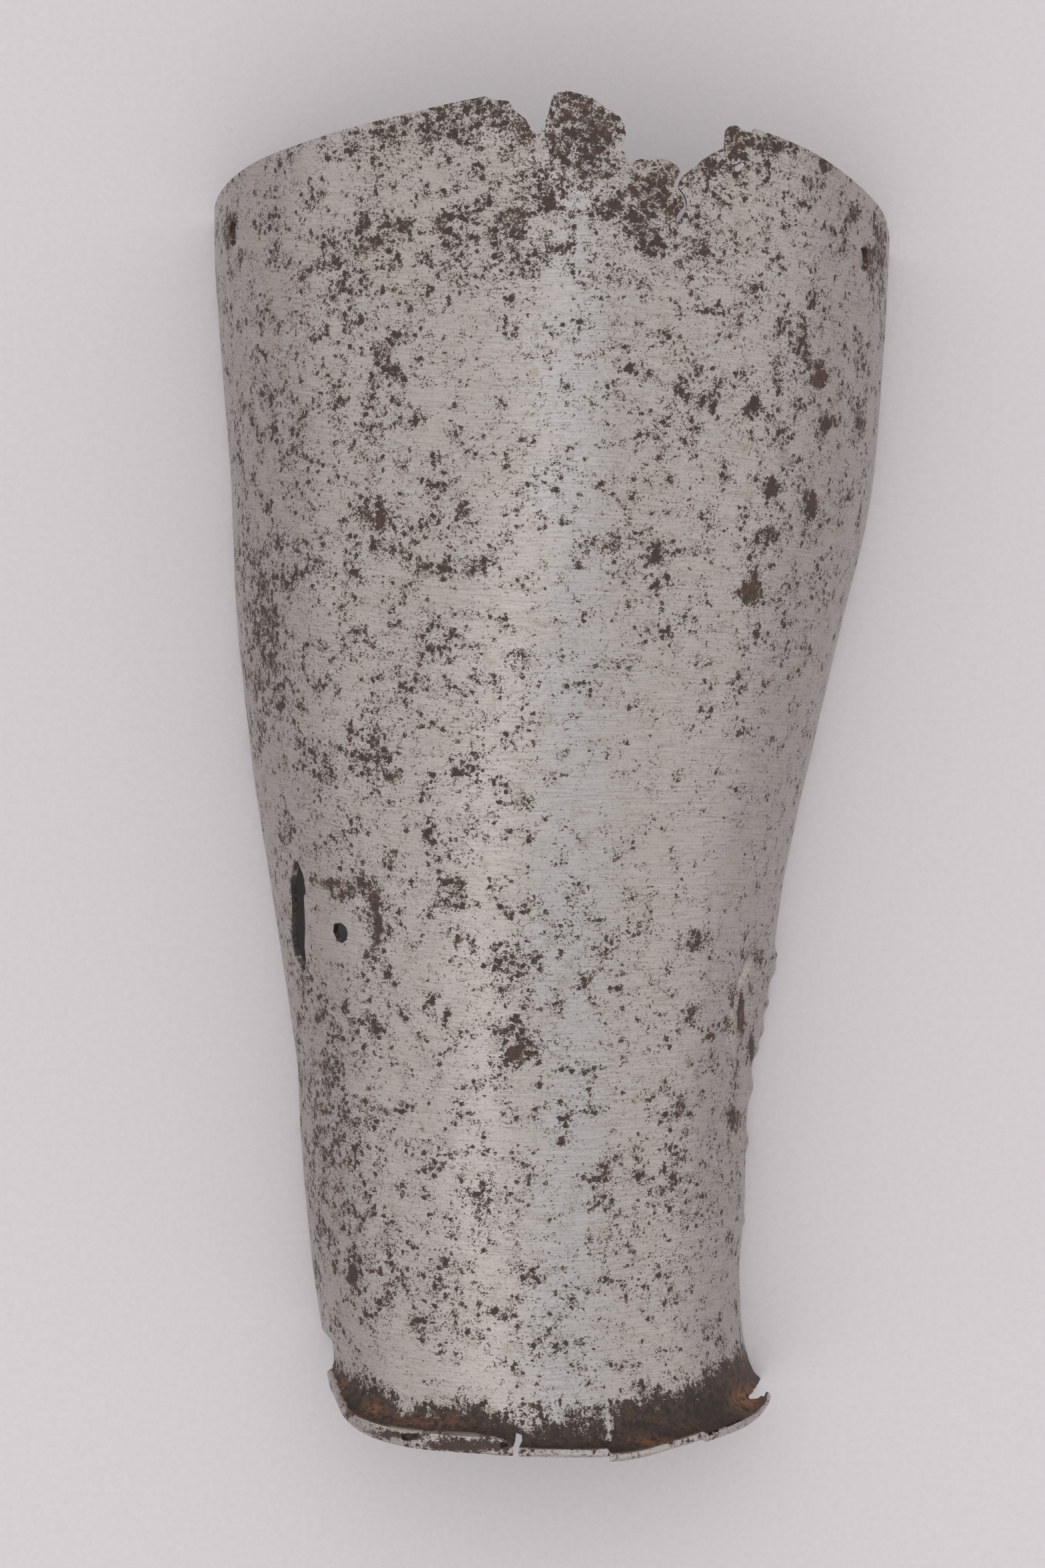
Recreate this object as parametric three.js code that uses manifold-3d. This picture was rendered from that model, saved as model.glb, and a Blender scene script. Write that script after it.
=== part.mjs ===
// Metal arm guard: the outer half of a forearm guard, one plate of hammered steel.
// Millimetres. +Z is up out of the crown and +Y runs to the elbow end.
// +X points away from the side with the strap slot.
// The plate lies on its two long edges at z = 0, with its origin under the middle of its bounding box.
// Angles are in degrees round the plate's section: 0 at the crown, -90 and 90 at the long edges.
import * as THREE from 'three';
import Module from 'manifold-3d';

// Driving dimensions
const SHEET = 1.1;
const RIM_SHEET = 0.8;
const COLUMNS = 44;
const WALL_ROWS = 21;
const ELBOW_ROWS = 4;
const FLARE_ROWS = 4;
const ROLL_ROWS = 6;
const WALL_START = -92;
const WALL_END = 80;
const FLARE_RADIUS = 4.4;
const FLARE_STRAIGHT = 0.8;
const RIVET_HOLE = 4.5;
const LACE_HOLE = 2.7;

// The tables measure x and y from a point under the crown. This is the plate's middle, seen from that point
const MIDDLE = { x: -0.12, y: 0.31 };

// The wall at stations along it: x of its long edges, its crown's height,
// and how square its section is, where 2 is an ellipse
const STATIONS = [
  { y: -106, left: -40.8, right: 34.9, rise: 37.8, square: 2.16 },
  { y: -88, left: -43.3, right: 33.9, rise: 38.6, square: 2.16 },
  { y: -76, left: -44.5, right: 34.8, rise: 39.6, square: 2.14 },
  { y: -63, left: -45.4, right: 35.1, rise: 41, square: 2.12 },
  { y: -51, left: -46.1, right: 36.2, rise: 42.4, square: 2.1 },
  { y: -39, left: -47.8, right: 38.8, rise: 44, square: 2.08 },
  { y: -15, left: -51.5, right: 42.2, rise: 47.6, square: 2.04 },
  { y: 9, left: -55, right: 47.7, rise: 51, square: 2 },
  { y: 33, left: -57.4, right: 53.4, rise: 53.9, square: 2 },
  { y: 45, left: -57.7, right: 56.4, rise: 55.1, square: 2 },
  { y: 57, left: -58.2, right: 58.3, rise: 56.1, square: 2 },
  { y: 81, left: -60.2, right: 60.1, rise: 57.4, square: 2 },
  { y: 98, left: -61.1, right: 61, rise: 58, square: 2 },
  { y: 118, left: -61.2, right: 61.1, rise: 58.2, square: 2 },
];

// The elbow edge as it was cut: an arch, highest over the crown
const ELBOW_EDGE = [
  { angle: -90, y: 102 },
  { angle: -60, y: 107.6 },
  { angle: -30, y: 112 },
  { angle: 0, y: 116.2 },
  { angle: 30, y: 111.6 },
  { angle: 60, y: 104.6 },
  { angle: 90, y: 96 },
];

// The wrist rim: how far it reaches, how far the flare turns out, and the radius and turn of its rolled edge
const RIM = [
  { angle: -90, reach: -103, flare: 38, roll: 1, turn: 200 },
  { angle: -68, reach: -109.2, flare: 45, roll: 1.15, turn: 225 },
  { angle: -50, reach: -113, flare: 64, roll: 1.25, turn: 225 },
  { angle: -30, reach: -114.9, flare: 75, roll: 1.25, turn: 225 },
  { angle: -11, reach: -115.1, flare: 75, roll: 1.2, turn: 225 },
  { angle: -6, reach: -115.3, flare: 75, roll: 0.62, turn: 140 },
  { angle: 30, reach: -115.4, flare: 75, roll: 0.62, turn: 140 },
  { angle: 60, reach: -112.8, flare: 75, roll: 0.6, turn: 140 },
  { angle: 75, reach: -111, flare: 72, roll: 0.6, turn: 140 },
  { angle: 90, reach: -110, flare: 66, roll: 0.6, turn: 140 },
];

// Dents low on the right side: middle, reach each way, and depth, which is negative where the wall stands out
const DENTS = [
  { angle: 65, y: -41, wide: 9, long: 11, deep: 1.5 },
  { angle: 88, y: -36, wide: 12, long: 12, deep: -0.9 },
  { angle: 61, y: -62, wide: 8, long: 6, deep: 0.6 },
];

// Plan of what has broken out of the elbow edge: a narrow notch, a tall tab, a low tab and a deep notch
const BROKEN_ELBOW = [
  [-9, 120], [-7.8, 114.5], [-5.9, 113], [-4, 110], [-2.7, 108.8], [-1.1, 112.2], [0.2, 115.8],
  [1.6, 116.3], [4.7, 115.5], [7.9, 114], [10.8, 112.2], [11.9, 109.5], [11.4, 106.5], [12.7, 103.8],
  [14.5, 105], [19.1, 105], [21.2, 103.5], [19.9, 100.8], [21.7, 97.5], [20.5, 95.2], [22.1, 96.5],
  [21.4, 101.2], [24.3, 104.2], [26, 106], [29.1, 107.2], [29.1, 110], [30.8, 111.5], [33, 120],
];

// Side view, as y and z, of the corners that have broken off the wrist end
const BROKEN_LEFT = [
  [-98.3, -1], [-98.6, 12], [-99.4, 15.4], [-104, 14.2], [-120, 14.6], [-120, -1],
];
const BROKEN_RIGHT = [
  [-107.2, -1], [-107.6, 10.6], [-120, 10.6], [-120, -1],
];

// Plan of the bite out of the flange beside the right corner, and of the crack through the rim
const BITE = [
  [36.6, -106.9], [35.5, -108], [34.8, -108.8], [35.3, -109.3],
  [36.4, -109.1], [38, -108.1], [41, -105.5],
];
const RIM_GAP = [
  [-5.9, -111.6], [-5.5, -112.6], [-6.1, -118], [-7.3, -118], [-6.7, -114.2], [-6.5, -112],
];

// The strap slot, about a point on the left wall: across towards the crown, then along towards the elbow
const SLOT_SPOT = { angle: -61.2, y: -23.6 };
const SLOT = [
  [1.3, 9.8], [2.3, 8], [2.3, 3], [1.8, -6], [0.5, -9.8],
  [-0.8, -9], [-2, -5], [-2.4, 4], [-2.2, 7.4], [0.2, 8.6],
];

// Round holes: where each goes through the wall, and its width
const HOLES = [
  { angle: -67.5, y: 96.8, across: RIVET_HOLE },
  { angle: 64, y: 91.5, across: RIVET_HOLE },
  { angle: -45.2, y: -26.2, across: LACE_HOLE },
];

// How far the cuts reach: heights for those in plan, x for those in side view, and depths off the wall's face
const ELBOW_CUT = [40, 70];
const BITE_CUT = [8, 30];
const GAP_CUT = [30, 60];
const LEFT_CUT = [-50, -25];
const RIGHT_CUT = [25, 50];
const WALL_CUT = [-4, 4];

const steel = new THREE.MeshStandardMaterial({
  name: 'steel',
  color: 0xaaa7a6,
  roughness: 0.42,
  metalness: 1,
});

const { cos, sin, sign, abs, exp, min, max } = Math;
const radians = THREE.MathUtils.degToRad;

// One column of a table at x, on a smooth curve through its rows
function smooth(rows, key, column, x) {
  const last = rows.length - 1;
  const next = rows.findIndex((row) => row[key] >= x);
  const i = next < 0 ? last - 1 : max(next - 1, 0);
  const slope = (k) => {
    const before = rows[max(k - 1, 0)];
    const after = rows[min(k + 1, last)];
    return (after[column] - before[column]) / (after[key] - before[key]);
  };
  const [a, b] = [rows[i], rows[i + 1]];
  const length = b[key] - a[key];
  const t = THREE.MathUtils.clamp((x - a[key]) / length, 0, 1);
  const from = (1 + 2 * t) * (1 - t) ** 2 * a[column] + t * (1 - t) ** 2 * length * slope(i);
  const to = t * t * (3 - 2 * t) * b[column] - t * t * (1 - t) * length * slope(i + 1);
  return from + to;
}

function dented(angle, y) {
  return DENTS.reduce((sum, dent) => {
    const around = (angle - dent.angle) / dent.wide;
    const along = (y - dent.y) / dent.long;
    return sum - dent.deep * exp(-around * around - along * along);
  }, 0);
}

// The point of the plate at an angle round the section, standing out from the wall's outer face
function spot(angle, y, out = 0) {
  const station = (column) => smooth(STATIONS, 'y', column, y);
  const [left, right, rise, square] = ['left', 'right', 'rise', 'square'].map(station);
  const proud = out + dented(angle, y);
  const turned = radians(angle);
  const power = 2 / square;
  const x = (left + right) / 2 + ((right - left) / 2 + proud) * sign(turned) * abs(sin(turned)) ** power;
  const z = abs(angle) >= 90 ? 0 : (rise + proud) * cos(turned) ** power;
  return new THREE.Vector3(x, y, z);
}

// The sheet's middle line along one column, from wrist to elbow,
// with y, height off the outer face, heading and thickness
function columnLine(angle) {
  const rim = (column) => smooth(RIM, 'angle', column, angle);
  const line = [];
  let at = { y: 0, out: -SHEET / 2, heading: 0, thick: SHEET };
  const step = (turn, length, thick) => {
    const way = radians(at.heading + turn / 2);
    at = { y: at.y - length * cos(way), out: at.out + length * sin(way), heading: at.heading + turn, thick };
    line.push(at);
  };
  line.push(at);
  const bend = rim('flare') / FLARE_ROWS;
  for (let k = 1; k <= FLARE_ROWS; k += 1) {
    step(bend, FLARE_RADIUS * radians(bend), SHEET + (RIM_SHEET - SHEET) * (k / FLARE_ROWS));
  }
  step(0, FLARE_STRAIGHT, RIM_SHEET);
  const curl = rim('turn') / ROLL_ROWS;
  for (let k = 1; k <= ROLL_ROWS; k += 1) {
    step(-curl, rim('roll') * radians(curl), RIM_SHEET);
  }
  const lowest = min(...line.map((p) => p.y)) - RIM_SHEET / 2;
  const shift = rim('reach') - lowest;
  const wrist = line.map((p) => ({ ...p, y: p.y + shift })).reverse();
  const wall = [];
  const flareStart = shift;
  wall.push((flareStart + WALL_START) / 2);
  for (let k = 0; k < WALL_ROWS; k += 1) {
    wall.push(WALL_START + ((WALL_END - WALL_START) * k) / (WALL_ROWS - 1));
  }
  const edge = smooth(ELBOW_EDGE, 'angle', 'y', angle);
  for (let k = 1; k <= ELBOW_ROWS; k += 1) {
    wall.push(WALL_END + ((edge - WALL_END) * k) / ELBOW_ROWS);
  }
  return [...wrist, ...wall.map((y) => ({ y, out: -SHEET / 2, heading: 0, thick: SHEET }))];
}

// The whole plate: its outer face, its inner face and the strips that close its four edges
function plateGeometry() {
  const points = [];
  const index = [];
  let rows = 0;
  for (const side of [1, -1]) {
    for (let c = 0; c <= COLUMNS; c += 1) {
      const angle = -90 + (180 * c) / COLUMNS;
      const line = columnLine(angle);
      rows = line.length;
      for (const p of line) {
        const half = (side * p.thick) / 2;
        const heading = radians(p.heading);
        const q = spot(angle, p.y + half * sin(heading), p.out + half * cos(heading));
        points.push(q.x, q.y, q.z);
      }
    }
  }
  const at = (side, c, r) => (side * (COLUMNS + 1) + c) * rows + r;
  const quad = (a, b, c, d) => index.push(a, b, c, a, c, d);
  for (let c = 0; c < COLUMNS; c += 1) {
    for (let r = 0; r < rows - 1; r += 1) {
      quad(at(0, c, r), at(0, c + 1, r), at(0, c + 1, r + 1), at(0, c, r + 1));
      quad(at(1, c, r), at(1, c, r + 1), at(1, c + 1, r + 1), at(1, c + 1, r));
    }
    quad(at(0, c, 0), at(1, c, 0), at(1, c + 1, 0), at(0, c + 1, 0));
    quad(at(0, c, rows - 1), at(0, c + 1, rows - 1), at(1, c + 1, rows - 1), at(1, c, rows - 1));
  }
  for (let r = 0; r < rows - 1; r += 1) {
    quad(at(0, 0, r), at(0, 0, r + 1), at(1, 0, r + 1), at(1, 0, r));
    quad(at(0, COLUMNS, r), at(1, COLUMNS, r), at(1, COLUMNS, r + 1), at(0, COLUMNS, r + 1));
  }
  const geometry = new THREE.BufferGeometry();
  geometry.setAttribute('position', new THREE.Float32BufferAttribute(points, 3));
  geometry.setIndex(index);
  return geometry;
}

// A prism of an outline, from low to high along its own z, placed by a matrix
function prism(outline, [low, high], matrix = new THREE.Matrix4()) {
  const shape = new THREE.Shape(outline.map(([x, y]) => new THREE.Vector2(x, y)));
  return new THREE.ExtrudeGeometry(shape, { depth: high - low, bevelEnabled: false })
    .translate(0, 0, low)
    .applyMatrix4(matrix);
}

// Axes at a point of the wall: across towards the crown or away from it, along the plate, and out
function wallAxes(angle, y) {
  const nudge = 0.5;
  const origin = spot(angle, y);
  const across = spot(angle + nudge, y).sub(spot(angle - nudge, y)).normalize();
  const along = spot(angle, y + nudge).sub(spot(angle, y - nudge)).normalize();
  const out = across.clone().cross(along).normalize();
  return new THREE.Matrix4().makeBasis(across, out.clone().cross(across), out).setPosition(origin);
}

function roundHole({ angle, y, across }) {
  const sides = 16;
  const circle = Array.from({ length: sides }, (_, k) => {
    const turn = (2 * Math.PI * k) / sides;
    return [(across / 2) * cos(turn), (across / 2) * sin(turn)];
  });
  return prism(circle, WALL_CUT, wallAxes(angle, y));
}

const wasm = await Module();
wasm.setup();

// A closed solid from a geometry whose faces may hold their own copies of a corner
function solid(geometry) {
  const place = geometry.getAttribute('position');
  const count = place.count;
  const faces = geometry.index ? [...geometry.index.array] : Array.from({ length: count }, (_, k) => k);
  const seen = new Map();
  const corners = [];
  const merged = Array.from({ length: count }, (_, k) => {
    const key = [place.getX(k), place.getY(k), place.getZ(k)].map((v) => v.toFixed(4)).join();
    if (!seen.has(key)) {
      seen.set(key, seen.size);
      corners.push(place.getX(k), place.getY(k), place.getZ(k));
    }
    return seen.get(key);
  });
  return new wasm.Manifold(new wasm.Mesh({
    numProp: 3,
    vertProperties: new Float32Array(corners),
    triVerts: new Uint32Array(faces.map((k) => merged[k])),
  }));
}

function meshOf(body, name, material) {
  const { vertProperties, triVerts } = body.getMesh();
  const geometry = new THREE.BufferGeometry();
  geometry.setAttribute('position', new THREE.Float32BufferAttribute(vertProperties, 3));
  geometry.setIndex(new THREE.Uint32BufferAttribute(triVerts, 1));
  geometry.computeVertexNormals();
  const mesh = new THREE.Mesh(geometry, material);
  mesh.name = name;
  return mesh;
}

const sideView = new THREE.Matrix4().makeBasis(
  new THREE.Vector3(0, 1, 0),
  new THREE.Vector3(0, 0, 1),
  new THREE.Vector3(1, 0, 0),
);
const losses = [
  prism(BROKEN_ELBOW, ELBOW_CUT),
  prism(BROKEN_LEFT, LEFT_CUT, sideView),
  prism(BROKEN_RIGHT, RIGHT_CUT, sideView),
  prism(BITE, BITE_CUT),
  prism(RIM_GAP, GAP_CUT),
  prism(SLOT, WALL_CUT, wallAxes(SLOT_SPOT.angle, SLOT_SPOT.y)),
  ...HOLES.map(roundHole),
];
const plate = losses.reduce((body, loss) => body.subtract(solid(loss)), solid(plateGeometry()));

const armPlate = meshOf(plate, 'arm_plate', steel);
armPlate.position.set(-MIDDLE.x, -MIDDLE.y, 0);

const group = new THREE.Group();
group.add(armPlate);

export default group;
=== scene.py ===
import math
from collections import namedtuple

import bmesh
import bpy
from mathutils import Matrix, Vector, noise


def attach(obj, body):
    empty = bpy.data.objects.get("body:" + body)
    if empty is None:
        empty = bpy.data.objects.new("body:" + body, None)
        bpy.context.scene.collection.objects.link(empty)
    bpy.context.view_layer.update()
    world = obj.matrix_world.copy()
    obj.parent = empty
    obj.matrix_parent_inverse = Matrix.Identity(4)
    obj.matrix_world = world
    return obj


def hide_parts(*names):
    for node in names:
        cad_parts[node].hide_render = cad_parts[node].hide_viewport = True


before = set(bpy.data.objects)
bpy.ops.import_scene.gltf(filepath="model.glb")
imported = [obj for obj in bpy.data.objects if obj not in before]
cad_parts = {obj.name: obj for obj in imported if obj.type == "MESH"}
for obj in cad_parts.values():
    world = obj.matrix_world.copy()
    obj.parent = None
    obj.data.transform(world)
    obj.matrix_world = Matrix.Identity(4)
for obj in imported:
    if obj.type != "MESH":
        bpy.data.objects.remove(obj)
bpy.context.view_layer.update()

MM = 0.001

# The photo's frame in pixels, and what it was taken with, in millimetres: the lens, the sensor's height,
# and the camera's height and the point that it is straight above
PHOTO_WIDE = 1568
PHOTO_HIGH = 2352
LENS = 100
SENSOR = 36
CAMERA_HIGH = 790
CAMERA_OVER = Vector((-5.28, -0.61, 0))
PIXELS = LENS / SENSOR * PHOTO_HIGH

# One of the photo's pixels on the crown, in millimetres
PIXEL = 0.113

# Sheet thicknesses in millimetres: the wall, the rolled rim and the eaten elbow edge
SHEET = 1.1
RIM_SHEET = 0.75
EATEN_SHEET = 0.45

# The tables measure x and y from a point under the crown. This is the plate's middle, as they measure it
MIDDLE = Vector((-0.12, 0.31, 0))

# The flat chart that the plate is bent from. It has the angle round the plate one way and a length from
# rim to elbow the other way, which is the plate's y on the wall, and runs through the flare and the rim
# below that
RIM_CHART = -114
FLARE_CHART = -100
WALL_CHART = -92
ARCH_CHART = 80
ELBOW_CHART = 116
CHART_COLUMNS = 112
CHART_ROWS = 136

# The flare at the wrist, in millimetres: the radius by which it turns out, and the straight part that
# follows
FLARE_RADIUS = 4.4
FLARE_STRAIGHT = 0.8

# Sections of the plate, from wrist to elbow: where each one is, how far it reaches to the left and to the
# right, how high the crown is, and how square the curve is, where 2 is an ellipse
Station = namedtuple("Station", "y left right rise square")
STATIONS = [
    Station(-106, -40.8, 36, 37.8, 2.16),
    Station(-100, -41.6, 34.5, 38.1, 2.16),
    Station(-88, -43.3, 33.9, 38.6, 2.16),
    Station(-76, -44.5, 34.8, 39.6, 2.14),
    Station(-63, -45.4, 35.1, 41, 2.12),
    Station(-51, -46.1, 36.2, 42.4, 2.1),
    Station(-39, -47.8, 38.8, 44, 2.08),
    Station(-15, -51.5, 42.2, 47.6, 2.04),
    Station(9, -55, 47.7, 51, 2),
    Station(33, -57.4, 53.4, 53.9, 2),
    Station(45, -57.7, 56.4, 55.1, 2),
    Station(57, -58.2, 58.3, 56.1, 2),
    Station(81, -60.2, 60.1, 57.4, 2),
    Station(98, -61.1, 61, 58, 2),
    Station(118, -61.2, 61.1, 58.2, 2),
]

# The arch of the elbow edge, before anything broke out of it
ElbowEdge = namedtuple("ElbowEdge", "angle y")
ELBOW_EDGE = [
    ElbowEdge(-90, 102),
    ElbowEdge(-60, 107.9),
    ElbowEdge(-45, 109.9),
    ElbowEdge(-30, 112.2),
    ElbowEdge(0, 116.2),
    ElbowEdge(30, 112),
    ElbowEdge(45, 109),
    ElbowEdge(60, 104.8),
    ElbowEdge(75, 100.9),
    ElbowEdge(90, 96),
]

# The wrist rim, by the angle round the plate: the y that it reaches, how far the flare turns out and how
# far the crest hangs back over it, in degrees, the radius of the crest's fold, the flat band below it,
# and the radius of the curl under it and how far that turns, in degrees
Rim = namedtuple("Rim", "angle reach flare hook crest band curl turn")
RIM = [
    Rim(-90, -104.8, 8, 62, 0.65, 1.7, 0.8, 100),
    Rim(-68, -109.2, 24, 58, 0.7, 1.8, 0.85, 120),
    Rim(-52, -113, 60, 44, 0.65, 1, 0.85, 125),
    Rim(-34, -115.1, 75, 32, 0.7, 1.4, 0.9, 125),
    Rim(-12, -115.8, 75, 28, 0.72, 1.7, 0.9, 120),
    Rim(-6, -115.9, 75, 22, 0.62, 0.7, 0.8, 120),
    Rim(-4.2, -115.9, 75, 16, 0.42, 0.1, 0.6, 50),
    Rim(14, -116.15, 75, 16, 0.42, 0, 0.6, 45),
    Rim(22, -115.75, 75, 16, 0.42, 0, 0.6, 45),
    Rim(30, -114.65, 75, 16, 0.42, 0, 0.6, 45),
    Rim(45, -113, 75, 16, 0.42, 0, 0.6, 45),
    Rim(60, -111.75, 75, 16, 0.42, 0, 0.6, 45),
    Rim(75, -110, 70, 16, 0.45, 0.3, 0.6, 45),
    Rim(90, -109.1, 64, 14, 0.5, 0.4, 0.6, 45),
]
# How far the flare turns out where the rim is whole and how far its crest folds over there, in degrees,
# and the radius at which it hangs back
FULL_FLARE = 75
CREST_FOLD = 105
HOOK_RADIUS = 0.45

# Steps in the rim's reach where it has cracked: half their width in degrees, and how far y changes there
RimStep = namedtuple("RimStep", "angle wide reach")
RIM_STEPS = [RimStep(14.8, 0.5, -0.9), RimStep(41, 1, -0.65)]

# Dents: middle, reach each way, and depth, which is negative where the wall stands out. A dent or a
# crease has faded away at three times its reach
DENT_END = 3
Dent = namedtuple("Dent", "angle y wide long deep")
DENTS = [
    Dent(65, -41, 9, 11, 1.5),
    Dent(88, -36, 12, 12, -0.2),
    Dent(61, -62, 8, 6, 0.6),
    Dent(27, 103, 5, 5, 0.9),
    Dent(17, 100, 5, 5, -0.5),
    Dent(5, 112, 6, 4, 0.4),
    Dent(-8, 113, 4, 4, -0.35),
    Dent(82, -31.2, 7, 1.2, -0.8),
    Dent(82, -33.8, 7, 1.4, -0.9),
    Dent(87, -40, 6, 0.8, -0.6),
    Dent(87, -45, 6, 1.6, -0.75),
    Dent(87, -48.4, 6, 1.1, -0.7),
    Dent(87, -55.1, 6, 2, -0.7),
    Dent(87, -64.8, 6, 1.3, -0.6),
    Dent(88, -79, 6, 0.5, -0.5),
    Dent(14.2, -103.5, 1.6, 5, -0.5),
]

# Creases in the right side: a line of angles and y, how wide it is in millimetres, and how deep
Crease = namedtuple("Crease", "line wide deep")
CREASES = [
    Crease(
        [(71, -26.5), (62, -32.5), (60.8, -34.8), (58.8, -38.2), (58.5, -42.2), (59.6, -46.5)],
        0.9, 0.85,
    ),
    Crease([(74, -29.5), (66, -33.5), (64.2, -38), (63.4, -43), (65, -50)], 1.2, -0.5),
    Crease([(55.8, -59.4), (58, -61.6), (64, -63)], 0.6, 0.4),
    Crease([(57.5, -51.6), (59.5, -52.8)], 0.4, 0.3),
]
CREASED_ANGLES = (50, 80)
CREASED_Y = (-68, -22)

# Millimetres round the wall for each degree: on the plate as a whole, and about where the creases are
WALL_DEGREE = 0.85
CREASE_DEGREE = 0.75

# The swells that the hammer left in the face, in millimetres: how long they are and how deep, and their
# start
Swell = namedtuple("Swell", "long deep start")
SWELLS = [Swell(21, 0.22, (0, 0, 0)), Swell(8.5, 0.1, (7, 3, 1))]

# The small unevenness of the face, and how much rougher and coarser it gets where the elbow edge is torn,
# in millimetres, with the y and the angles between which that sets in
FACE_ROUGH = 0.03
FACE_LONG = 3.1
TORN_ROUGH = 0.4
TORN_LONG = 1.8
TORN_Y = (93, 110)
TORN_LEFT = (-18, -6)
TORN_RIGHT = (30, 42)


def smooth(rows, key, column, x):
    """One column of a table at x, on a smooth curve through its rows."""
    last = len(rows) - 1
    places = [getattr(row, key) for row in rows]
    values = [getattr(row, column) for row in rows]
    i = next((k for k, place in enumerate(places) if place >= x), last)
    i = min(max(i - 1, 0), last - 1)

    def slope(k):
        before, after = max(k - 1, 0), min(k + 1, last)
        return (values[after] - values[before]) / (places[after] - places[before])

    length = places[i + 1] - places[i]
    t = min(max((x - places[i]) / length, 0), 1)
    start = (1 + 2 * t) * (1 - t) ** 2 * values[i] + t * (1 - t) ** 2 * length * slope(i)
    end = t * t * (3 - 2 * t) * values[i + 1] - t * t * (1 - t) * length * slope(i + 1)
    return start + end


def ease(low, high, x):
    t = min(max((x - low) / (high - low), 0), 1)
    return t * t * (3 - 2 * t)


class Curve:
    """A table's column, worked out once at even steps so that many points can read it."""

    STEPS = 720

    def __init__(self, rows, key, column):
        self.low = getattr(rows[0], key)
        self.step = (getattr(rows[-1], key) - self.low) / self.STEPS
        self.values = [smooth(rows, key, column, self.low + k * self.step) for k in range(self.STEPS + 1)]

    def __call__(self, x):
        place = min(max((x - self.low) / self.step, 0), self.STEPS - 0.001)
        k = int(place)
        return self.values[k] + (place - k) * (self.values[k + 1] - self.values[k])


section = {name: Curve(STATIONS, "y", name) for name in Station._fields[1:]}
rim_shape = {name: Curve(RIM, "angle", name) for name in Rim._fields[1:]}
elbow_edge = Curve(ELBOW_EDGE, "angle", "y")


def dented(angle, y):
    depth = 0
    for dent in DENTS:
        around = (angle - dent.angle) / dent.wide
        along = (y - dent.y) / dent.long
        away = around * around + along * along
        if away < DENT_END ** 2:
            depth -= dent.deep * math.exp(-away)
    return depth


def off_line(line, x, y):
    """How far a point is from a flat line of corners."""
    least = math.inf
    for before, after in zip(line, line[1:]):
        run = (after[0] - before[0], after[1] - before[1])
        long = run[0] ** 2 + run[1] ** 2
        t = ((x - before[0]) * run[0] + (y - before[1]) * run[1]) / long if long else 0
        t = min(max(t, 0), 1)
        least = min(least, math.hypot(x - before[0] - t * run[0], y - before[1] - t * run[1]))
    return least


def creased(angle, y):
    if not (CREASED_ANGLES[0] < angle < CREASED_ANGLES[1] and CREASED_Y[0] < y < CREASED_Y[1]):
        return 0
    depth = 0
    for crease in CREASES:
        line = [(corner[0] * CREASE_DEGREE, corner[1]) for corner in crease.line]
        away = off_line(line, angle * CREASE_DEGREE, y) / crease.wide
        if away < DENT_END:
            depth -= crease.deep * math.exp(-away * away)
    return depth


def hammered(angle, y):
    """The uneven face that hammering, wear and tearing have left, in millimetres."""
    place = Vector((angle * WALL_DEGREE, y, 0))
    uneven = sum(swell.deep * noise.noise(place / swell.long + Vector(swell.start)) for swell in SWELLS)
    torn = ease(*TORN_Y, y) * ease(*TORN_LEFT, angle) * (1 - ease(*TORN_RIGHT, angle))
    return uneven + (FACE_ROUGH + TORN_ROUGH * torn) * noise.noise(place / (FACE_LONG + TORN_LONG * torn))


def spot(angle, y, out=0):
    """The point of the plate at an angle round its section, standing out from the wall's outer face."""
    rise = section["rise"](y)
    left = section["left"](y)
    right = section["right"](y)
    power = 2 / section["square"](y)
    proud = out + dented(angle, y) + creased(angle, y) + hammered(angle, y)
    turned = math.radians(angle)
    x = math.copysign(abs(math.sin(turned)) ** power, turned)
    z = max(math.cos(turned), 0) ** power if abs(angle) < 90 else 0
    across = (left + right) / 2 + ((right - left) / 2 + proud) * x
    return Vector((across, y, (rise + proud) * z)) - MIDDLE


def rim_line(angle):
    """The rim's outer face at one angle, from wall to rolled edge: length, y and height above the wall.

    The line starts at y 0 and goes down, and is then moved to where the rim reaches at this angle.
    """
    rim = {name: curve(angle) for name, curve in rim_shape.items()}
    crest_fold = CREST_FOLD * min(rim["flare"] / FULL_FLARE, 1) + rim["hook"]
    # Each part's turn in degrees, its length and its steps
    parts = [
        (rim["flare"], FLARE_RADIUS * math.radians(rim["flare"]), 10),
        (0, FLARE_STRAIGHT, 2),
        (rim["hook"], HOOK_RADIUS * math.radians(rim["hook"]), 4),
        (-crest_fold, rim["crest"] * math.radians(crest_fold), 10),
        (0, rim["band"], 3),
        (-rim["turn"], rim["curl"] * math.radians(rim["turn"]), 9),
    ]
    y, out, heading, length = 0.0, -SHEET / 2, 0.0, 0.0
    thick = SHEET
    line = []

    def note():
        way = math.radians(heading)
        line.append((length, y + thick / 2 * math.sin(way), out + thick / 2 * math.cos(way)))

    note()
    for turn, long, steps in parts:
        for _ in range(steps):
            way = math.radians(heading + turn / steps / 2)
            y -= long / steps * math.cos(way)
            out += long / steps * math.sin(way)
            heading += turn / steps
            length += long / steps
            thick = SHEET + (RIM_SHEET - SHEET) * min(length / FLARE_RADIUS, 1)
            note()
    reach = rim["reach"]
    for step in RIM_STEPS:
        reach += step.reach * ease(step.angle - step.wide, step.angle + step.wide, angle)
    shift = reach - min(place for _, place, _ in line)
    return [(long, place + shift, height) for long, place, height in line]


# Every rim line that has been worked out, by its angle
rim_lines = {}


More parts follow.
